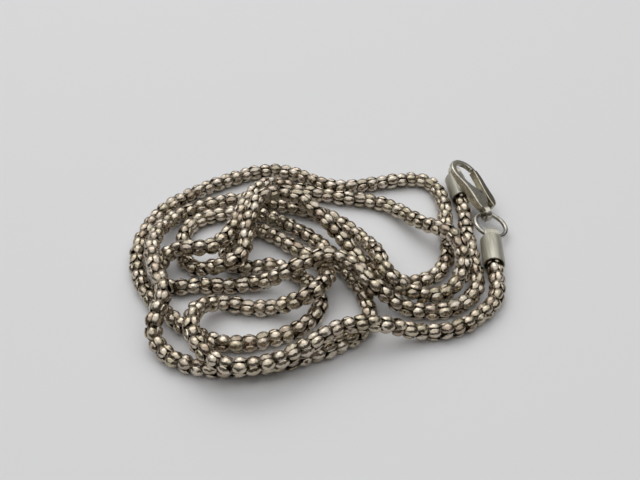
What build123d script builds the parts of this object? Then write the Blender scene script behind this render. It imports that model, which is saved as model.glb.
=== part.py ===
"""A popcorn chain necklace, fastened and lying in a loose heap: chain, end caps, jump ring and clasp."""
from build123d import *

import math
import os

# Chain, millimetres
chain_diameter = 2.8
chain_in_cap = 1.9
chain_bend_share = 0.45

# End caps, bored to take the chain with a little play
cap_clearance = 0.15
cap_wall = 0.25
cap_outer_diameter = chain_diameter + 2 * (cap_clearance + cap_wall)
cap_length = 6.2
cap_end_wall = 0.6
cap_round = 0.25
cap_mouth_round = 0.08

# Loop on the closed end of each cap
loop_height = 3.0
loop_width = 2.4
loop_thickness = 0.35
loop_depth = 2.1
loop_corner_share = 0.45
loop_plan_share = 1.02

# Jump ring
ring_outer_diameter = 6.4
ring_wire = 0.8
ring_cut_angle = 4.0

# Lobster clasp
clasp_length = 12.0
clasp_width = 5.8
clasp_thickness = 1.55
hook_thickness = 0.9
neck_thickness = 1.0
clasp_edge_round = 0.25
eye_outer_diameter = 2.7
eye_hole = 1.6
eye_thickness = 0.9
eye_turn = 70.0

# Lever and its pin
pin_diameter = 0.6
pin_clearance = 0.03
hub_diameter = 1.6
hub_thickness = 0.85
slot_clearance = 0.08
lever_thickness = 1.4
lever_edge_round = 0.15
lever_gap = 0.15
lever_web_share = 0.39

# Where the hardware lies on the surface, the ring past its cap and the clasp past the ring
ring_past_cap = 1.85
ring_centre = Vector(29.05, cap_length + ring_past_cap, 2.05)
ring_tilt = 15.0
ring_pitch = 2.0
ring_cut_direction = 124.0
clasp_from_ring = Vector(-0.45, 2.65, 0.32)
clasp_eye_centre = ring_centre + clasp_from_ring
clasp_heading = Vector(-0.335, 0.91, 0.29)
clasp_roll = 21.0

# Chosen points of the chain's line, from inside the clasp's cap to inside the ring's cap
chain_route = [
    (25.0, 17.3, 1.8), (25.2, 14.8, 1.8), (25.1, 10.9, 1.4), (24.8, 5.7, 1.4), (24.8, -0.1, 1.4),
    (25.0, -6.5, 1.4), (21.5, -10.6, 1.4), (16.5, -11.9, 1.4), (12.1, -11.1, 2.0), (8.6, -9.7, 4.5),
    (5.3, -5.3, 5.2), (1.6, -2.7, 5.5), (-2.2, -3.8, 5.0), (-5.3, -6.0, 4.9), (-9.2, -5.5, 1.7),
    (-14.3, -6.1, 1.4), (-19.7, -5.8, 1.4), (-24.3, -6.6, 1.4), (-26.2, -4.7, 1.4), (-26.5, -2.2, 1.8),
    (-24.8, 0.1, 3.5), (-21.7, -0.7, 5.0), (-18.7, -0.9, 4.8), (-16.3, 0.9, 4.7), (-14.4, 4.8, 4.9),
    (-13.5, 10.3, 4.9), (-11.5, 14.7, 4.9), (-9.3, 18.8, 3.0), (-6.1, 19.6, 1.4), (-2.6, 17.9, 1.4),
    (1.9, 16.6, 1.4), (7.1, 15.9, 1.4), (12.2, 14.2, 1.4), (17.4, 6.8, 3.2), (22.0, 2.6, 5.3),
    (23.0, -3.2, 4.0), (21.1, -6.9, 1.8), (17.5, -8.4, 1.4), (14.3, -8.6, 2.4), (11.4, -8.1, 4.4),
    (9.5, -5.2, 5.2), (8.8, -1.5, 4.9), (7.6, 3.6, 2.0), (4.6, 8.1, 1.4), (0.7, 11.6, 1.4),
    (-4.1, 13.3, 1.4), (-9.6, 14.9, 1.4), (-14.7, 16.0, 1.4), (-20.0, 14.7, 1.4), (-26.3, 10.9, 1.4),
    (-27.7, 1.3, 5.3), (-26.4, -5.6, 5.3), (-23.4, -10.4, 4.9), (-25.0, -15.3, 4.1), (-24.7, -17.9, 1.4),
    (-20.9, -21.5, 1.4), (-15.2, -22.8, 1.4), (-8.8, -22.2, 1.4), (-3.0, -20.6, 1.4), (2.6, -18.4, 1.4),
    (7.2, -14.7, 1.4), (7.2, -8.9, 1.4), (4.1, -2.7, 1.4), (0.0, 4.0, 1.4), (-5.5, 8.7, 1.4),
    (-11.3, 12.2, 1.4), (-17.9, 12.0, 1.4), (-23.1, 9.2, 1.4), (-23.8, 3.0, 1.4), (-22.2, -1.1, 1.4),
    (-19.9, -2.5, 1.6), (-17.4, -3.1, 2.8), (-14.7, -4.1, 4.6), (-12.5, -2.6, 5.1), (-12.3, 0.7, 5.4),
    (-12.0, 5.0, 6.4), (-10.5, 10.4, 7.2), (-4.8, 12.0, 6.0), (-1.0, 8.6, 5.0), (3.3, 3.7, 3.2),
    (6.4, -0.5, 1.6), (11.2, -5.6, 1.4), (17.3, -5.0, 1.4), (21.1, -0.1, 1.4), (21.4, 7.9, 1.4),
    (22.1, 16.7, 1.4), (19.3, 22.3, 1.4), (11.8, 21.1, 1.4), (5.2, 19.3, 1.4), (0.1, 19.9, 1.4),
    (-4.8, 23.7, 1.4), (-10.2, 24.9, 1.4), (-16.0, 22.4, 1.4), (-22.3, 18.5, 1.4), (-28.7, 12.7, 1.4),
    (-31.0, 4.3, 1.4), (-30.0, -3.5, 1.4), (-25.8, -10.2, 1.4), (-19.7, -15.7, 1.4), (-14.7, -18.2, 1.4),
    (-8.9, -17.7, 1.4), (-2.6, -14.9, 1.4), (0.5, -9.6, 1.4), (-2.5, -4.5, 1.4), (-7.2, -0.8, 1.4),
    (-13.3, -2.4, 1.4), (-16.5, 0.4, 1.4), (-14.4, 7.1, 1.4), (-10.3, 7.9, 1.4), (-4.6, 2.5, 1.8),
    (-0.6, -0.7, 1.8), (1.0, -4.0, 2.2), (0.9, -7.5, 4.6), (-0.9, -10.5, 5.2), (-4.1, -11.5, 3.6),
    (-7.7, -10.7, 1.4), (-11.3, -10.9, 1.4), (-14.9, -9.7, 1.6), (-17.9, -11.1, 2.8), (-19.3, -15.1, 5.0),
    (-18.5, -20.1, 4.8), (-13.8, -24.9, 4.4), (-7.5, -24.2, 4.4), (-2.7, -21.5, 4.5), (2.3, -17.2, 4.6),
    (8.5, -16.3, 4.4), (14.6, -15.9, 1.4), (20.9, -15.1, 1.4), (26.7, -10.2, 1.4), (28.1, -5.9, 1.4),
    (28.0, -2.3, 1.8), (28.2, 0.2, 1.8),
]

# Clasp outlines as shares of its length and width, from the tail eye along the back to the hook
back_outline = [
    (0.081, -0.125), (0.176, -0.20), (0.338, -0.24), (0.56, -0.35), (0.78, -0.45),
    (0.941, -0.33), (1.0, -0.067), (0.985, 0.167), (0.89, 0.41), (0.787, 0.49),
]
hook_inside_outline = [
    (0.802, 0.325), (0.86, 0.25), (0.908, 0.1), (0.912, -0.083), (0.853, -0.225),
    (0.735, -0.27), (0.60, -0.17), (0.495, -0.05), (0.441, 0.08), (0.425, 0.2),
]
front_outline = [(0.425, 0.2), (0.368, 0.29), (0.243, 0.28), (0.147, 0.192), (0.081, 0.125)]
lever_top_outline = [
    (0.768, 0.483), (0.625, 0.535), (0.47, 0.55), (0.38, 0.57), (0.27, 0.59), (0.17, 0.555), (0.12, 0.49),
]
lever_under_outline = [
    (0.12, 0.40), (0.20, 0.36), (0.30, 0.345), (0.456, 0.345), (0.625, 0.358), (0.778, 0.342),
]
pivot_share = (0.36, 0.15)
thickness_outline = [(0.06, 0.0), (0.25, 1.0), (0.5, 1.0), (0.75, 0.25), (0.9, 0.0), (1.05, 0.0)]


def at_clasp(points):
    """Points given as shares, in millimetres in the clasp's own plane."""
    return [(x * clasp_length, y * clasp_width) for x, y in points]


def bend_radii(points, share):
    """The radius of each tangent arc, from the shorter run beside it and the turn."""
    radii = []
    for before, here, after in zip(points, points[1:], points[2:]):
        run_in = here - before
        run_out = after - here
        turn = math.radians(run_in.get_angle(run_out))
        radii.append(share * min(run_in.length, run_out.length) / math.tan(turn / 2))
    return radii


def chain_line():
    """The chain's centre line: straight runs joined by tangent arcs."""
    points = [Vector(*p) for p in chain_route]
    radii = bend_radii(points, chain_bend_share)
    print("chain bend radii:", " ".join(f"{r:.1f}" for r in radii))
    return FilletPolyline(*points, radius=radii)


def chain_tube(line):
    """The outer shape of the popcorn chain, as a solid tube on its line."""
    end = Plane(origin=line @ 0, z_dir=line % 0)
    tube = sweep(end * Circle(chain_diameter / 2), path=line)
    expected = math.pi * chain_diameter ** 2 / 4 * line.length
    print(f"chain length {line.length:.1f} volume {tube.volume:.1f} section times length {expected:.1f}")
    return tube


def end_cap():
    """A cup along +Z with its mouth at the origin and an arched loop on its closed end."""
    radius = cap_outer_diameter / 2
    cup = Cylinder(radius, cap_length, align=(Align.CENTER, Align.CENTER, Align.MIN))
    cup = fillet(cup.edges().group_by(Axis.Z)[-1], cap_round)
    bore = Cylinder(radius - cap_wall, cap_length - cap_end_wall, align=(Align.CENTER, Align.CENTER, Align.MIN))
    cup = cup - bore
    cup = fillet(cup.edges().group_by(Axis.Z)[0], cap_mouth_round)
    return cup + (cap_loop() - bore)


def cap_loop():
    """The loop on the closed end: an arched strap, narrower towards its far end."""
    depth = loop_depth + loop_thickness
    middle = depth / 2 - loop_thickness
    corner = loop_corner_share * depth
    outside = RectangleRounded(loop_height, depth, corner)
    inside = RectangleRounded(
        loop_height - 2 * loop_thickness, depth - 2 * loop_thickness, corner - loop_thickness)
    strap = extrude(Plane.YZ * Pos(0, middle) * (outside - inside), loop_width / 2, both=True)
    plan = Plane.XZ * Ellipse(loop_width / 2, loop_depth * loop_plan_share)
    loop = strap & extrude(plan, loop_height, both=True)
    return Pos(0, 0, cap_length) * loop


def cap_place(end_point, next_point):
    """The plane of a cap's mouth: its axis follows the chain's last run."""
    axis = (end_point - next_point).normalized()
    mouth = end_point - axis * chain_in_cap
    return Plane(origin=mouth, x_dir=axis.cross(Vector(0, 0, 1)), z_dir=axis)


def jump_ring():
    """A round wire ring with the fine cut where it is opened."""
    wire = ring_wire / 2
    ring = Torus(ring_outer_diameter / 2 - wire, wire, major_angle=360 - ring_cut_angle)
    lie = Pos(*ring_centre) * Rot(X=ring_pitch) * Rot(Y=ring_tilt)
    return lie * Rot(Z=ring_cut_direction + ring_cut_angle / 2) * ring


def clasp_plane():
    """The clasp's own plane: X from the tail eye to the hook, Y to the lever's side."""
    heading = clasp_heading.normalized()
    level = heading.cross(Vector(0, 0, 1)).normalized()
    side = level.rotate(Axis((0, 0, 0), heading), clasp_roll)
    return Plane(origin=clasp_eye_centre, x_dir=heading, z_dir=heading.cross(side))


def pivot_point():
    """The pin's place in the clasp's own plane."""
    return pivot_share[0] * clasp_length, pivot_share[1] * clasp_width


def clasp_body():
    """The cast hook with its housing for the lever and the tail eye."""
    back = at_clasp(back_outline)
    inside = at_clasp(hook_inside_outline)
    front = at_clasp(front_outline)
    edge = Spline(*back) + Line(back[-1], inside[0]) + Spline(*inside)
    edge = edge + Spline(*front) + Line(front[-1], back[0])
    body = extrude(make_face(edge), clasp_thickness / 2, both=True)
    body = body & thickness_envelope()
    body = fillet(body.edges().filter_by(GeomType.LINE, reverse=True), clasp_edge_round)
    eye = Rot(X=eye_turn) * extrude(
        Circle(eye_outer_diameter / 2) - Circle(eye_hole / 2), eye_thickness / 2, both=True)
    hole = Rot(X=eye_turn) * Cylinder(eye_hole / 2, clasp_thickness)
    return body - hub_slot() - hole - pin_hole(pin_clearance) + eye


def thickness_envelope():
    """The side view of the body: thin at the neck and the hook, full at the lever's housing."""
    top = []
    for x, share in thickness_outline:
        low = neck_thickness if x < 0.5 else hook_thickness
        top.append((x * clasp_length, (low + (clasp_thickness - low) * share) / 2))
    under = [(x, -z) for x, z in reversed(top)]
    side = Spline(*top) + Line(top[-1], under[0]) + Spline(*under) + Line(under[-1], top[0])
    return extrude(Plane.XZ * make_face(side), clasp_width, both=True)


def hub_slot():
    """The slot in the body that the lever's hub turns in."""
    x, y = pivot_point()
    width = hub_thickness + 2 * slot_clearance
    reach = hub_diameter / 2 + lever_gap
    slot = Pos(x, y) * Cylinder(reach, width)
    mouth = Pos(x, y) * Box(2 * reach, clasp_width, width, align=(Align.CENTER, Align.MIN, Align.CENTER))
    nose = Pos(x, y) * Box(clasp_width, 2 * reach, width, align=(Align.MIN, Align.CENTER, Align.CENTER))
    return slot + mouth + nose


def pin_hole(clearance):
    """The bore for the pin, right through."""
    x, y = pivot_point()
    return Pos(x, y) * Cylinder(pin_diameter / 2 + clearance, 2 * clasp_thickness)


def clasp_pin():
    """The pivot pin, flush with both faces of the body."""
    x, y = pivot_point()
    return Pos(x, y) * Cylinder(pin_diameter / 2, clasp_thickness)


def clasp_lever():
    """The sprung lever that closes the hook: hub, gate arm and thumb tab."""
    x, y = pivot_point()
    top = at_clasp(lever_top_outline)
    under = at_clasp(lever_under_outline)
    edge = Spline(*top) + Line(top[-1], under[0]) + Spline(*under) + Line(under[-1], top[0])
    arm = extrude(make_face(edge), lever_thickness / 2, both=True)
    arm = fillet(arm.edges().filter_by(GeomType.LINE, reverse=True), lever_edge_round)
    hub = Pos(x, y) * Cylinder(hub_diameter / 2, hub_thickness)
    height = lever_web_share * clasp_width - y
    web = Pos(x, y) * Box(hub_diameter, height, hub_thickness, align=(Align.CENTER, Align.MIN, Align.CENTER))
    return arm + hub + web - pin_hole(pin_clearance)


points = [Vector(*p) for p in chain_route]
line = chain_line()
clasp = clasp_plane()
pieces = {
    "chain": chain_tube(line),
    "end_cap_clasp_side": cap_place(points[0], points[1]) * end_cap(),
    "end_cap_ring_side": cap_place(points[-1], points[-2]) * end_cap(),
    "jump_ring": jump_ring(),
    "clasp_body": clasp * clasp_body(),
    "clasp_lever": clasp * clasp_lever(),
    "clasp_pivot_pin": clasp * clasp_pin(),
}

os.makedirs("parts", exist_ok=True)
for name, piece in pieces.items():
    export_step(piece, f"parts/{name}.step")

hinge = clasp.location * Pos(*pivot_point())
print("hinge at", hinge.position, "axis", clasp.z_dir)
box = Compound(children=list(pieces.values())).bounding_box()
print("box", box.min, box.max, "middle", box.center())
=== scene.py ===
"""Looks of a popcorn chain necklace in a loose heap: petalled chain, plated hardware, floor and light."""

import logging
import math
import random
from dataclasses import dataclass, field
from enum import Enum

import bmesh
import bpy
import numpy as np
from mathutils import Matrix, Vector


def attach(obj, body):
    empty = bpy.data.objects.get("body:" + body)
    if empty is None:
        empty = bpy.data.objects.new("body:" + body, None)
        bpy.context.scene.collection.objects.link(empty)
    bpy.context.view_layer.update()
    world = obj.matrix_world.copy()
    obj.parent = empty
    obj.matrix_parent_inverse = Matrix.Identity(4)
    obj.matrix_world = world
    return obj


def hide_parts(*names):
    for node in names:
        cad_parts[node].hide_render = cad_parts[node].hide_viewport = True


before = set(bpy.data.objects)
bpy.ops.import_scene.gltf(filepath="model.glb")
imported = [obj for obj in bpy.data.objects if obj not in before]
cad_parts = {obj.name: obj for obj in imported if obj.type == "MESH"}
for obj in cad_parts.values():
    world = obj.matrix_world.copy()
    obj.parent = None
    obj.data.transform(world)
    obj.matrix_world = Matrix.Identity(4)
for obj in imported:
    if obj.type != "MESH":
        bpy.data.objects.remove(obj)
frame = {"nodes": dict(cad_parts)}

LOG = logging.getLogger("necklace")
MM = 0.001

# Positions and sRGB hex colours of a colour ramp
Stops = tuple[tuple[float, str], ...]

# Nearly all values of a noise texture lie between these two
NOISE_LOW = 0.3
NOISE_HIGH = 0.7

# Points of a sphere of radius 1 that are this near to a cut count as on it
CUT_TOLERANCE = 1e-4

# A Mix node's colour sockets share their names with its number sockets, so they are taken by place
MIX_BASE = 6
MIX_OVER = 7
MIX_RESULT = 2

# Chosen points of the chain's line, in metres, from inside the clasp's cap to inside the ring's cap
CHAIN_ROUTE: list[tuple[float, float, float]] = [
    (0.0250, 0.0173, 0.0018), (0.0252, 0.0148, 0.0018), (0.0251, 0.0109, 0.0014),
    (0.0248, 0.0057, 0.0014), (0.0248, -0.0001, 0.0014), (0.0250, -0.0065, 0.0014),
    (0.0215, -0.0106, 0.0014), (0.0165, -0.0119, 0.0014), (0.0121, -0.0111, 0.0020),
    (0.0086, -0.0097, 0.0045), (0.0053, -0.0053, 0.0052), (0.0016, -0.0027, 0.0055),
    (-0.0022, -0.0038, 0.0050), (-0.0053, -0.0060, 0.0049), (-0.0092, -0.0055, 0.0017),
    (-0.0143, -0.0061, 0.0014), (-0.0197, -0.0058, 0.0014), (-0.0243, -0.0066, 0.0014),
    (-0.0262, -0.0047, 0.0014), (-0.0265, -0.0022, 0.0018), (-0.0248, 0.0001, 0.0035),
    (-0.0217, -0.0007, 0.0050), (-0.0187, -0.0009, 0.0048), (-0.0163, 0.0009, 0.0047),
    (-0.0144, 0.0048, 0.0049), (-0.0135, 0.0103, 0.0049), (-0.0115, 0.0147, 0.0049),
    (-0.0093, 0.0188, 0.0030), (-0.0061, 0.0196, 0.0014), (-0.0026, 0.0179, 0.0014),
    (0.0019, 0.0166, 0.0014), (0.0071, 0.0159, 0.0014), (0.0122, 0.0142, 0.0014),
    (0.0174, 0.0068, 0.0032), (0.0220, 0.0026, 0.0053), (0.0230, -0.0032, 0.0040),
    (0.0211, -0.0069, 0.0018), (0.0175, -0.0084, 0.0014), (0.0143, -0.0086, 0.0024),
    (0.0114, -0.0081, 0.0044), (0.0095, -0.0052, 0.0052), (0.0088, -0.0015, 0.0049),
    (0.0076, 0.0036, 0.0020), (0.0046, 0.0081, 0.0014), (0.0007, 0.0116, 0.0014),
    (-0.0041, 0.0133, 0.0014), (-0.0096, 0.0149, 0.0014), (-0.0147, 0.0160, 0.0014),
    (-0.0200, 0.0147, 0.0014), (-0.0263, 0.0109, 0.0014), (-0.0277, 0.0013, 0.0053),
    (-0.0264, -0.0056, 0.0053), (-0.0234, -0.0104, 0.0049), (-0.0250, -0.0153, 0.0041),
    (-0.0247, -0.0179, 0.0014), (-0.0209, -0.0215, 0.0014), (-0.0152, -0.0228, 0.0014),
    (-0.0088, -0.0222, 0.0014), (-0.0030, -0.0206, 0.0014), (0.0026, -0.0184, 0.0014),
    (0.0072, -0.0147, 0.0014), (0.0072, -0.0089, 0.0014), (0.0041, -0.0027, 0.0014),
    (0.0000, 0.0040, 0.0014), (-0.0055, 0.0087, 0.0014), (-0.0113, 0.0122, 0.0014),
    (-0.0179, 0.0120, 0.0014), (-0.0231, 0.0092, 0.0014), (-0.0238, 0.0030, 0.0014),
    (-0.0222, -0.0011, 0.0014), (-0.0199, -0.0025, 0.0016), (-0.0174, -0.0031, 0.0028),
    (-0.0147, -0.0041, 0.0046), (-0.0125, -0.0026, 0.0051), (-0.0123, 0.0007, 0.0054),
    (-0.0120, 0.0050, 0.0064), (-0.0105, 0.0104, 0.0072), (-0.0048, 0.0120, 0.0060),
    (-0.0010, 0.0086, 0.0050), (0.0033, 0.0037, 0.0032), (0.0064, -0.0005, 0.0016),
    (0.0112, -0.0056, 0.0014), (0.0173, -0.0050, 0.0014), (0.0211, -0.0001, 0.0014),
    (0.0214, 0.0079, 0.0014), (0.0221, 0.0167, 0.0014), (0.0193, 0.0223, 0.0014),
    (0.0118, 0.0211, 0.0014), (0.0052, 0.0193, 0.0014), (0.0001, 0.0199, 0.0014),
    (-0.0048, 0.0237, 0.0014), (-0.0102, 0.0249, 0.0014), (-0.0160, 0.0224, 0.0014),
    (-0.0223, 0.0185, 0.0014), (-0.0287, 0.0127, 0.0014), (-0.0310, 0.0043, 0.0014),
    (-0.0300, -0.0035, 0.0014), (-0.0258, -0.0102, 0.0014), (-0.0197, -0.0157, 0.0014),
    (-0.0147, -0.0182, 0.0014), (-0.0089, -0.0177, 0.0014), (-0.0026, -0.0149, 0.0014),
    (0.0005, -0.0096, 0.0014), (-0.0025, -0.0045, 0.0014), (-0.0072, -0.0008, 0.0014),
    (-0.0133, -0.0024, 0.0014), (-0.0165, 0.0004, 0.0014), (-0.0144, 0.0071, 0.0014),
    (-0.0103, 0.0079, 0.0014), (-0.0046, 0.0025, 0.0018), (-0.0006, -0.0007, 0.0018),
    (0.0010, -0.0040, 0.0022), (0.0009, -0.0075, 0.0046), (-0.0009, -0.0105, 0.0052),
    (-0.0041, -0.0115, 0.0036), (-0.0077, -0.0107, 0.0014), (-0.0113, -0.0109, 0.0014),
    (-0.0149, -0.0097, 0.0016), (-0.0179, -0.0111, 0.0028), (-0.0193, -0.0151, 0.0050),
    (-0.0185, -0.0201, 0.0048), (-0.0138, -0.0249, 0.0044), (-0.0075, -0.0242, 0.0044),
    (-0.0027, -0.0215, 0.0045), (0.0023, -0.0172, 0.0046), (0.0085, -0.0163, 0.0044),
    (0.0146, -0.0159, 0.0014), (0.0209, -0.0151, 0.0014), (0.0267, -0.0102, 0.0014),
    (0.0281, -0.0059, 0.0014), (0.0280, -0.0023, 0.0018), (0.0282, 0.0002, 0.0018),
]


def linear(hex_colour: str) -> tuple[float, float, float, float]:
    """Turns an sRGB hex colour into linear RGBA.

    Args:
        hex_colour: Six hex digits, with or without a leading #.

    Returns:
        Linear red, green, blue and an alpha of 1.
    """
    digits = hex_colour.lstrip("#")
    channels = [int(digits[k:k + 2], 16) / 255 for k in (0, 2, 4)]
    red, green, blue = [c / 12.92 if c <= 0.04045 else ((c + 0.055) / 1.055) ** 2.4 for c in channels]
    return red, green, blue, 1.0


def add_node(tree: bpy.types.NodeTree, kind: str, settings: dict | None = None,
             inputs: dict | None = None, stops: Stops = ()) -> bpy.types.Node:
    """Adds one node with its settings, socket values, links and colour stops.

    Args:
        tree: The node tree.
        kind: The node's type name.
        settings: Properties of the node.
        inputs: Values of input sockets, or output sockets to link to them, by the input's name or place.
        stops: Positions from 0 to 1, each with its hex colour, where the node has a colour ramp.

    Returns:
        The new node.
    """
    node = tree.nodes.new(kind)
    for name, value in (settings or {}).items():
        setattr(node, name, value)
    for socket, value in (inputs or {}).items():
        if isinstance(value, bpy.types.NodeSocket):
            tree.links.new(value, node.inputs[socket])
        else:
            node.inputs[socket].default_value = value
    # A ramp starts with two stops, and any new one is made anywhere and then moved to its place
    elements = node.color_ramp.elements if stops else []
    while len(elements) < len(stops):
        elements.new(0.5)
    for element, (position, colour) in zip(elements, stops):
        element.position = position
        element.color = linear(colour)
    return node


def to_mesh(shape: bmesh.types.BMesh, name: str) -> bpy.types.Mesh:
    """Turns a finished shape into a mesh and frees the shape.

    Args:
        shape: The finished shape.
        name: The mesh's name.

    Returns:
        The new mesh.
    """
    mesh = bpy.data.meshes.new(name)
    shape.to_mesh(mesh)
    shape.free()
    return mesh


def add_object(name: str, data: bpy.types.ID) -> bpy.types.Object:
    """Adds an object to the scene, at the origin.

    Args:
        name: The object's name.
        data: Its mesh, camera or light.

    Returns:
        The new object.
    """
    item = bpy.data.objects.new(name, data)
    bpy.context.scene.collection.objects.link(item)
    return item


class Axis(Enum):
    """Axes that a petal or a core is turned about, with the chain along X."""

    X = "X"
    Y = "Y"


@dataclass(frozen=True)
class AntiqueNickel:
    """Antique nickel plate on stamped brass, darkened all over and then rubbed bright on its domes.

    To the eye it is a warm silver glint on each dome, with a dark brown line round it: partly oxide left
    where the rubbing doesn't reach, and partly painted shade, as the colour darkens towards each petal's
    foot. Petals differ a little in tone.
    """

    # Plate by lift, from the foot of a petal's edge at 0 to its crown at 1: recess, shoulder and crown
    # The crown is the plate's own colour; the darker recess and shoulder are oxide and painted shade
    plate_and_painted_shade: Stops = ((0.02, "#6A6154"), (0.16, "#A49B8C"), (0.34, "#D4CABC"))
    # Tint by a petal's tone, which is drawn at random: brown, two that are nearly clean, and olive
    tints: Stops = ((0.0, "#BAAA9B"), (0.3, "#FFFFFF"), (0.7, "#F6F2E8"), (1.0, "#CCCAB6"))
    tint_share: float = 0.7
    # Tarnish in blotches about half a petal across, darker and smoother than the plate round them
    stains: Stops = ((0.35, "#BDB5A6"), (0.6, "#FFFFFF"))
    stain_share: float = 0.6
    stain_size: float = 0.9 * MM
    stained_roughness: float = 0.14
    clean_roughness: float = 0.34
    # Small dents left by stamping, drawn a little broader than they are so that they show
    dent_size: float = 0.7 * MM
    dent_height: float = 0.045 * MM

    def material(self) -> bpy.types.Material:
        """Builds the material.

        Returns:
            The new material.
        """
        material = bpy.data.materials.new("antique_nickel_plate")
        material.use_nodes = True
        tree = material.node_tree
        shader = tree.nodes["Principled BSDF"]
        shader.inputs["Metallic"].default_value = 1.0
        place = add_node(tree, "ShaderNodeTexCoord")
        lift = add_node(tree, "ShaderNodeAttribute", {"attribute_name": "lift"})
        tone = add_node(tree, "ShaderNodeAttribute", {"attribute_name": "tone"})
        # Painted shade: this ramp darkens the plate from each petal's crown to its foot and on the cores,
        # partly for oxide in the hollows
        plate_and_painted_shade = add_node(
            tree, "ShaderNodeValToRGB", inputs={"Fac": lift.outputs["Fac"]}, stops=self.plate_and_painted_shade)
        tint = add_node(
            tree, "ShaderNodeValToRGB", inputs={"Fac": tone.outputs["Fac"]}, stops=self.tints)
        blotches = add_node(tree, "ShaderNodeTexNoise", inputs={
            "Vector": place.outputs["Object"], "Scale": 1 / self.stain_size,
            "Detail": 3.0, "Roughness": 0.6})
        stain = add_node(
            tree, "ShaderNodeValToRGB", inputs={"Fac": blotches.outputs["Fac"]}, stops=self.stains)
        darken = {"data_type": "RGBA", "blend_type": "MULTIPLY"}
        tinted = add_node(tree, "ShaderNodeMix", darken, {
            "Factor": self.tint_share, MIX_BASE: plate_and_painted_shade.outputs["Color"], MIX_OVER: tint.outputs["Color"]})
        stained = add_node(tree, "ShaderNodeMix", darken, {
            "Factor": self.stain_share, MIX_BASE: tinted.outputs[MIX_RESULT],
            MIX_OVER: stain.outputs["Color"]})
        tree.links.new(stained.outputs[MIX_RESULT], shader.inputs["Base Color"])
        rough = add_node(tree, "ShaderNodeMapRange", inputs={
            "Value": blotches.outputs["Fac"], "From Min": NOISE_LOW, "From Max": NOISE_HIGH,
            "To Min": self.stained_roughness, "To Max": self.clean_roughness})
        tree.links.new(rough.outputs["Result"], shader.inputs["Roughness"])
        dents = add_node(tree, "ShaderNodeTexNoise", inputs={
            "Vector": place.outputs["Object"], "Scale": 1 / self.dent_size, "Detail": 1.0})
        bump = add_node(tree, "ShaderNodeBump", inputs={
            "Height": dents.outputs["Fac"], "Distance": self.dent_height, "Strength": 1.0})
        tree.links.new(bump.outputs["Normal"], shader.inputs["Normal"])
        return material


@dataclass(frozen=True)
class PlatedMetal:
    """Nickel plate on a part that was cast, drawn or stamped, and then tumbled or polished.

    To the eye it is a grey metal with broad highlights, slightly mottled where handling has dulled it.
    """

    name: str
    colour: str
    worn_colour: str
    roughness: float
    # Worn spots are rougher than the part's own roughness and the rest is smoother, by these factors
    worn_factor: float = 1.4
    polished_factor: float = 0.8
    worn_spot: float = 0.35
    clean_plate: float = 0.6
    # The plate's real grain is finer than a pixel, so it is drawn coarse enough to show
    grain_size: float = 0.25 * MM
    grain_height: float = 0.002 * MM
    # Below 1 in one direction, the grain is drawn out into lines that run that way
    grain_stretch: tuple[float, float, float] = (1.0, 1.0, 1.0)
    grains_per_worn_spot: float = 3.0

    def material(self) -> bpy.types.Material:
        """Builds the material.

        Returns:
            The new material.
        """
        material = bpy.data.materials.new(self.name)
        material.use_nodes = True
        tree = material.node_tree
        shader = tree.nodes["Principled BSDF"]
        shader.inputs["Metallic"].default_value = 1.0
        place = add_node(tree, "ShaderNodeTexCoord")
        brushed = add_node(tree, "ShaderNodeMapping", inputs={
            "Vector": place.outputs["Object"], "Scale": self.grain_stretch})
        wear = add_node(tree, "ShaderNodeTexNoise", inputs={
            "Vector": brushed.outputs["Vector"], "Scale": 1 / (self.grains_per_worn_spot * self.grain_size),
            "Detail": 5.0})
        stops = ((self.worn_spot, self.worn_colour), (self.clean_plate, self.colour))
        colour = add_node(tree, "ShaderNodeValToRGB", inputs={"Fac": wear.outputs["Fac"]}, stops=stops)
        tree.links.new(colour.outputs["Color"], shader.inputs["Base Color"])
        rough = add_node(tree, "ShaderNodeMapRange", inputs={
            "Value": wear.outputs["Fac"], "From Min": NOISE_LOW, "From Max": NOISE_HIGH,
            "To Min": self.roughness * self.worn_factor, "To Max": self.roughness * self.polished_factor})
        tree.links.new(rough.outputs["Result"], shader.inputs["Roughness"])
        grain = add_node(tree, "ShaderNodeTexNoise", inputs={
            "Vector": brushed.outputs["Vector"], "Scale": 1 / self.grain_size, "Detail": 2.0})
        bump = add_node(tree, "ShaderNodeBump", inputs={
            "Height": grain.outputs["Fac"], "Distance": self.grain_height, "Strength": 1.0})
        tree.links.new(bump.outputs["Normal"], shader.inputs["Normal"])
        return material


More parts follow.
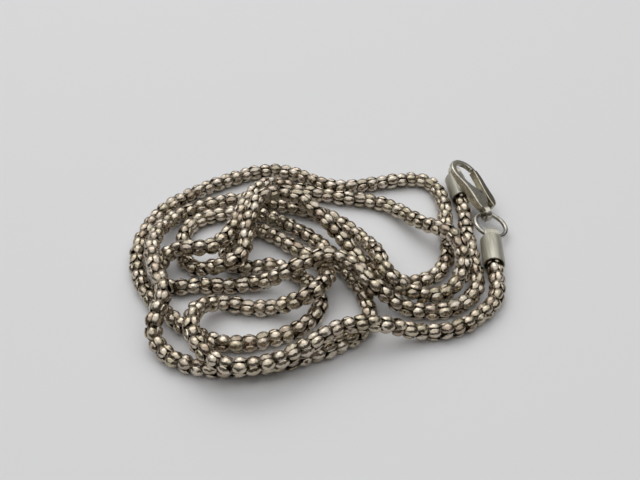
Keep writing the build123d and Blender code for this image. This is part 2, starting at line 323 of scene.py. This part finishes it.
@dataclass
class PopcornChain:
    """The chain: cups of four domed petals each, every other cup turned by an eighth of a turn.

    Each petal is a rounded hexagon, pointed along the chain, so that it fits between the petals of the
    cups on either side of it and leaves only a narrow dark gap round it. Angles are in degrees.
    """

    route: list[tuple[float, float, float]]
    points_per_run: int = 24
    radius: float = 1.44 * MM
    cup_pitch: float = 1.92 * MM
    petals_per_cup: int = 4
    # A petal's hexagon: the way its slanted sides face, their distance, and that of its other two
    petal_slant: float = 30.5
    petal_slant_reach: float = 1.07 * MM
    petal_side_reach: float = 1.06 * MM
    # The higher this is, the sharper are the hexagon's corners
    petal_corner: float = 5.0
    # A petal's dome: how high it is, how flat its crown is and how gently it falls to its rim
    petal_rise: float = 0.48 * MM
    crown_power: float = 1.9
    rim_power: float = 0.85
    # Its edge below the rim, and how much of the rim's size is left at its foot
    petal_edge: float = 0.10 * MM
    foot_share: float = 0.93
    # A petal is flatter across than the chain is round
    wrap_radius: float = 2.3 * MM
    # Faces round a petal, bands from pole to pole of the sphere it is cut from, and how they crowd inwards
    petal_sides: int = 12
    sphere_bands: int = 6
    band_power: float = 1.15
    # A cup's middle is a cone: its wide end, its narrow end's share of that, its length in cup pitches
    core_radius: float = 0.9 * MM
    core_taper: float = 0.8
    core_overlap: float = 1.15
    core_sides: int = 10
    core_tone: float = 0.5
    # The most that one petal is tipped, stretched along the chain and shifted at random
    tilt: float = 12.0
    size_spread: float = 0.08
    shift: float = 0.05 * MM
    # The chain's twist: a steady part, and a slow sway to and fro
    twist_per_cup: float = 1.1
    sway: float = 18.0
    cups_per_sway_radian: float = 23.0
    # Edges that bend by more than this are shown sharp
    crease: float = 24.0
    seed: int = 11
    finish: AntiqueNickel = field(default_factory=AntiqueNickel)

    def centre_line(self) -> list[Vector]:
        """Reads closely spaced points from the smooth line through the route.

        Returns:
            Points of the line, in order.
        """
        curve = bpy.data.curves.new("chain_line", "CURVE")
        curve.dimensions = "3D"
        curve.resolution_u = self.points_per_run
        spline = curve.splines.new("NURBS")
        spline.points.add(len(self.route) - 1)
        for point, place in zip(spline.points, self.route):
            point.co = (*place, 1.0)
        spline.order_u = 3
        spline.use_endpoint_u = True
        holder = bpy.data.objects.new("chain_line", curve)
        sampled = bpy.data.meshes.new_from_object(holder)
        points = [v.co.copy() for v in sampled.vertices]
        bpy.data.objects.remove(holder)
        bpy.data.curves.remove(curve)
        bpy.data.meshes.remove(sampled)
        return points

    def stations(self) -> list[Matrix]:
        """Finds each cup's place on the line, with X along the chain and no twist.

        Returns:
            A matrix for each cup.
        """
        points = np.array(self.centre_line())
        steps = np.linalg.norm(np.diff(points, axis=0), axis=1)
        along = np.concatenate([[0.0], np.cumsum(steps)])
        length = along[-1]
        count = round(length / self.cup_pitch)
        LOG.info("chain line %.1f mm, %d cups", length / MM, count)
        middles = (np.arange(count) + 0.5) * length / count
        reach = self.cup_pitch / 2

        def at(distance: float) -> Vector:
            """Returns the point of the line at a distance from its start."""
            return Vector([float(np.interp(distance, along, points[:, k])) for k in range(3)])

        places = []
        up = Vector((0, 0, 1))
        for middle in middles:
            forward = (at(middle + reach) - at(middle - reach)).normalized()
            up = (up - forward * up.dot(forward)).normalized()
            side = up.cross(forward)
            rotation = Matrix((forward, side, up)).transposed().to_4x4()
            places.append(Matrix.Translation(at(middle)) @ rotation)
        return places

    def outline(self, angle: float) -> float:
        """Works out how far a petal's rim lies from its middle.

        Args:
            angle: The direction from the middle, from the chain's line, in radians.

        Returns:
            The distance to the rim of a hexagon with rounded corners.
        """
        slant = math.radians(self.petal_slant)
        flats = [(slant, self.petal_slant_reach), (-slant, self.petal_slant_reach),
                 (math.pi / 2, self.petal_side_reach)]
        total = sum(abs(math.cos(angle - facing) / reach) ** self.petal_corner for facing, reach in flats)
        return total ** (-1 / self.petal_corner)

    def wrapped(self, along: float, across: float, depth: float) -> Vector:
        """Bends a point of the flat petal round the chain.

        Args:
            along: Its distance from the petal's middle along the chain.
            across: Its distance from the petal's middle round the chain.
            depth: How far it lies under the crown.

        Returns:
            Its place, with the chain's line along X through the origin.
        """
        turn = across / self.wrap_radius
        reach = self.wrap_radius - depth
        height = reach * math.cos(turn) - self.wrap_radius + self.radius
        return Vector((along, reach * math.sin(turn), height))

    def depth_of(self, point: Vector) -> float:
        """Returns how far a point of the bent petal lies under its crown."""
        return self.wrap_radius - math.hypot(point.y, point.z + self.wrap_radius - self.radius)

    def petal(self) -> bpy.types.Mesh:
        """Models one petal on top of the chain: a closed dome with an edge.

        Returns:
            The petal's mesh, with the chain's line along X through the origin.
        """
        shape = bmesh.new()
        bmesh.ops.create_uvsphere(
            shape, u_segments=self.petal_sides, v_segments=self.sphere_bands, radius=1.0)
        everything = shape.verts[:] + shape.edges[:] + shape.faces[:]
        cut = bmesh.ops.bisect_plane(
            shape, geom=everything, dist=CUT_TOLERANCE, plane_co=(0, 0, 0), plane_no=(0, 0, -1),
            clear_outer=True)
        rim = [e for e in cut["geom_cut"] if isinstance(e, bmesh.types.BMEdge)]
        # The upper half of the sphere becomes the dome
        for vert in shape.verts:
            spread = min(vert.co.xy.length, 1.0) ** self.band_power
            angle = math.atan2(vert.co.y, vert.co.x)
            reach = spread * self.outline(angle)
            depth = self.petal_rise * (1 - (1 - spread ** self.crown_power) ** self.rim_power)
            vert.co = self.wrapped(reach * math.cos(angle), reach * math.sin(angle), depth)
        # The edge goes down from the rim, and a flat face closes it
        skirt = bmesh.ops.extrude_edge_only(shape, edges=rim)
        lower = [v for v in skirt["geom"] if isinstance(v, bmesh.types.BMVert)]
        for vert in lower:
            across = self.wrap_radius * math.atan2(vert.co.y, vert.co.z + self.wrap_radius - self.radius)
            vert.co = self.wrapped(
                self.foot_share * vert.co.x, self.foot_share * across, self.petal_rise + self.petal_edge)
        bmesh.ops.contextual_create(shape, geom=lower)
        bmesh.ops.recalc_face_normals(shape, faces=shape.faces[:])
        return to_mesh(shape, "petal")

    def core(self) -> bpy.types.Mesh:
        """Models the middle of one cup, which fills the space under its petals.

        Returns:
            The core's mesh, along X about the origin.
        """
        shape = bmesh.new()
        bmesh.ops.create_cone(
            shape, cap_ends=True, segments=self.core_sides, radius1=self.core_radius,
            radius2=self.core_radius * self.core_taper, depth=self.cup_pitch * self.core_overlap,
            matrix=Matrix.Rotation(math.pi / 2, 4, Axis.Y.value))
        return to_mesh(shape, "core")

    def jitter(self, draw: random.Random) -> Matrix:
        """Works out one petal's small misplacement.

        Args:
            draw: The seeded source of random numbers.

        Returns:
            The matrix that tips, stretches and shifts the petal about the middle of its rim.
        """
        pivot = Matrix.Translation((0, 0, self.radius - self.petal_rise))
        tip = Matrix.Rotation(math.radians(draw.uniform(-self.tilt, self.tilt)), 4, Axis.Y.value)
        roll = Matrix.Rotation(math.radians(draw.uniform(-self.tilt, self.tilt)), 4, Axis.X.value)
        slide = Matrix.Translation((draw.uniform(-self.shift, self.shift), 0, draw.uniform(-self.shift, 0)))
        size = Matrix.Scale(1 + draw.uniform(-self.size_spread, self.size_spread), 4, (1, 0, 0))
        return slide @ pivot @ tip @ roll @ size @ pivot.inverted()

    def joined_cups(self, petal: bpy.types.Mesh, core: bpy.types.Mesh,
                    stations: list[Matrix]) -> tuple[bmesh.types.BMesh, np.ndarray]:
        """Copies the petals and the core of a cup to every station.

        Args:
            petal: One petal's mesh.
            core: The mesh of a cup's middle.
            stations: A matrix for each cup.

        Returns:
            The joined shape, and the tone of each of its vertices in order.
        """
        draw = random.Random(self.seed)
        joined = bmesh.new()
        tones = []
        for number, station in enumerate(stations):
            turn = number % 2 * math.pi / self.petals_per_cup
            sway = self.sway * math.sin(number / self.cups_per_sway_radian)
            turn += math.radians(self.twist_per_cup * number + sway)
            for quarter in range(self.petals_per_cup):
                angle = turn + quarter * 2 * math.pi / self.petals_per_cup
                place = station @ Matrix.Rotation(angle, 4, Axis.X.value) @ self.jitter(draw)
                self.add_copy(joined, petal, place)
                tones.append(np.full(len(petal.vertices), draw.random()))
            self.add_copy(joined, core, station)
            tones.append(np.full(len(core.vertices), self.core_tone))
        # What would reach under the surface that the necklace lies on is pressed flat against it
        for vert in joined.verts:
            vert.co.z = max(vert.co.z, 0.0)
        return joined, np.concatenate(tones)

    def build(self) -> bpy.types.Object:
        """Joins every cup into one mesh along the line, and dresses it.

        Returns:
            The chain's object, with its place in its mesh.
        """
        petal, core = self.petal(), self.core()
        stations = self.stations()
        joined, tones = self.joined_cups(petal, core, stations)
        mesh = to_mesh(joined, "popcorn_chain")
        # Lift drives the painted shade: it falls from 1 at a petal's crown to 0 at its foot, and is 0 on
        # every core, so the cores take the darkest colour
        depths = np.array([self.depth_of(v.co) for v in petal.vertices])
        petal_lift = np.clip(1 - depths / (self.petal_rise + self.petal_edge), 0, 1)
        cup_lift = np.concatenate([np.tile(petal_lift, self.petals_per_cup), np.zeros(len(core.vertices))])
        self.store(mesh, "lift", np.tile(cup_lift, len(stations)))
        self.store(mesh, "tone", tones)
        mesh.shade_smooth()
        mesh.set_sharp_from_angle(angle=math.radians(self.crease))
        mesh.materials.append(self.finish.material())
        bpy.data.meshes.remove(petal)
        bpy.data.meshes.remove(core)
        return add_object("popcorn_chain", mesh)

    @staticmethod
    def add_copy(joined: bmesh.types.BMesh, mesh: bpy.types.Mesh, place: Matrix) -> None:
        """Adds a copy of a mesh to a shape.

        Args:
            joined: The shape that takes it.
            mesh: The mesh to copy.
            place: Where the copy goes.
        """
        copy = mesh.copy()
        copy.transform(place)
        joined.from_mesh(copy)
        bpy.data.meshes.remove(copy)

    @staticmethod
    def store(mesh: bpy.types.Mesh, name: str, values: np.ndarray) -> None:
        """Stores one number per vertex as a named attribute."""
        attribute = mesh.attributes.new(name, "FLOAT", "POINT")
        attribute.data.foreach_set("value", values.astype(np.float32))


@dataclass
class Hardware:
    """The caps, ring and clasp, whose shapes come from the frame and which are only dressed here."""

    # Drawn tube with a satin plate: a soft, even sheen, with faint drawing lines along the cap
    cap: PlatedMetal = PlatedMetal(
        "satin_nickel_cap", colour="#CBC8BB", worn_colour="#B4B0A2", roughness=0.48,
        grain_size=0.18 * MM, grain_stretch=(1.0, 0.08, 1.0))
    # Drawn wire with a bright plate: narrow dark and light bands that follow its round
    wire: PlatedMetal = PlatedMetal(
        "bright_nickel_wire", colour="#C4C1B8", worn_colour="#9A958A", roughness=0.2)
    # Cast body, tumbled and polished: pale flats with soft highlights on the rounded edges
    clasp: PlatedMetal = PlatedMetal(
        "polished_nickel_clasp", colour="#CFCBBE", worn_colour="#B0AA9A", roughness=0.27)
    # Stamped lever, bright from the thumb that works it: darker and sharper reflections than the body's
    lever: PlatedMetal = PlatedMetal(
        "nickel_lever", colour="#C4BFAE", worn_colour="#A39D8A", roughness=0.2)

    def dress(self, nodes: dict[str, bpy.types.Object]) -> None:
        """Gives each node of the frame its finish.

        Args:
            nodes: The frame's nodes by name.
        """
        finishes = {
            "end_cap_clasp_side": self.cap, "end_cap_ring_side": self.cap, "jump_ring": self.wire,
            "clasp_body": self.clasp, "clasp_lever": self.lever, "clasp_pivot_pin": self.wire,
        }
        for name, finish in finishes.items():
            node = nodes[name]
            node.data.materials.clear()
            node.data.materials.append(finish.material())
            LOG.info("%s is dressed in %s", name, finish.name)


@dataclass
class Studio:
    """A pale floor, soft light and the camera at the photograph's angle."""

    camera_place: tuple[float, float, float] = (-0.3 * MM, -90.89 * MM, 87.69 * MM)
    # How far the camera looks down, in degrees, and its lens, in the millimetres of a camera
    camera_pitch: float = 42.0
    focal_length: float = 42.75
    sensor_width: float = 36.0
    nearest_view: float = 1.0 * MM
    floor_size: float = 3.0
    floor_colour: str = "#E9E9EA"
    floor_roughness: float = 0.9
    # The room's light by direction: 1 is towards the window, and 0 is square to it and all behind
    window_direction: tuple[float, float, float] = (-0.1, 0.24, 0.96)
    room_light: Stops = ((0.0, "#403E3B"), (0.46, "#4E4B47"), (0.6, "#C4C6C8"), (0.74, "#FCFCFC"))
    room_strength: float = 1.07
    softbox_place: tuple[float, float, float] = (-0.07, 0.24, 0.42)
    softbox_size: float = 0.34
    softbox_power: float = 0.42

    def camera(self) -> None:
        """Makes the camera and sets it as the scene's."""
        data = bpy.data.cameras.new("camera")
        data.lens = self.focal_length
        data.sensor_width = self.sensor_width
        data.clip_start = self.nearest_view
        camera = add_object("camera", data)
        camera.location = self.camera_place
        camera.rotation_euler = (math.radians(90 - self.camera_pitch), 0, 0)
        bpy.context.scene.camera = camera

    def floor(self) -> None:
        """Makes the pale floor that the necklace lies on."""
        shape = bmesh.new()
        bmesh.ops.create_grid(shape, x_segments=1, y_segments=1, size=self.floor_size / 2)
        mesh = to_mesh(shape, "floor")
        # Matt card: no glint of its own, so that only the soft shadow shows on it
        material = bpy.data.materials.new("matt_white_card")
        material.use_nodes = True
        shader = material.node_tree.nodes["Principled BSDF"]
        shader.inputs["Base Color"].default_value = linear(self.floor_colour)
        shader.inputs["Roughness"].default_value = self.floor_roughness
        mesh.materials.append(material)
        add_object("floor", mesh)

    def light(self) -> None:
        """Makes the room's soft light, bright overhead and dim towards the camera, and one softbox."""
        world = bpy.data.worlds.new("room")
        world.use_nodes = True
        bpy.context.scene.world = world
        tree = world.node_tree
        place = add_node(tree, "ShaderNodeTexCoord")
        facing = add_node(tree, "ShaderNodeVectorMath", {"operation": "DOT_PRODUCT"}, {
            0: place.outputs["Generated"], 1: Vector(self.window_direction).normalized()})
        room = add_node(
            tree, "ShaderNodeValToRGB", inputs={"Fac": facing.outputs["Value"]}, stops=self.room_light)
        back = tree.nodes["Background"]
        tree.links.new(room.outputs["Color"], back.inputs["Color"])
        back.inputs["Strength"].default_value = self.room_strength
        data = bpy.data.lights.new("softbox", "AREA")
        data.energy = self.softbox_power
        data.size = self.softbox_size
        lamp = add_object("softbox", data)
        lamp.location = self.softbox_place
        lamp.rotation_euler = (-Vector(self.softbox_place)).to_track_quat("-Z", "Y").to_euler()

    def build(self) -> None:
        """Makes the whole stage."""
        bpy.context.scene.view_settings.view_transform = "Standard"
        self.camera()
        self.floor()
        self.light()


def main() -> None:
    """Builds the scene round the frame."""
    logging.basicConfig(level=logging.INFO, format="%(message)s")
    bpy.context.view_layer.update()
    chain = PopcornChain(CHAIN_ROUTE).build()
    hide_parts("chain")
    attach(chain, "necklace")
    LOG.info("%s has %d faces", chain.name, len(chain.data.polygons))
    Hardware().dress(frame["nodes"])
    Studio().build()


if __name__ == "__main__":
    main()
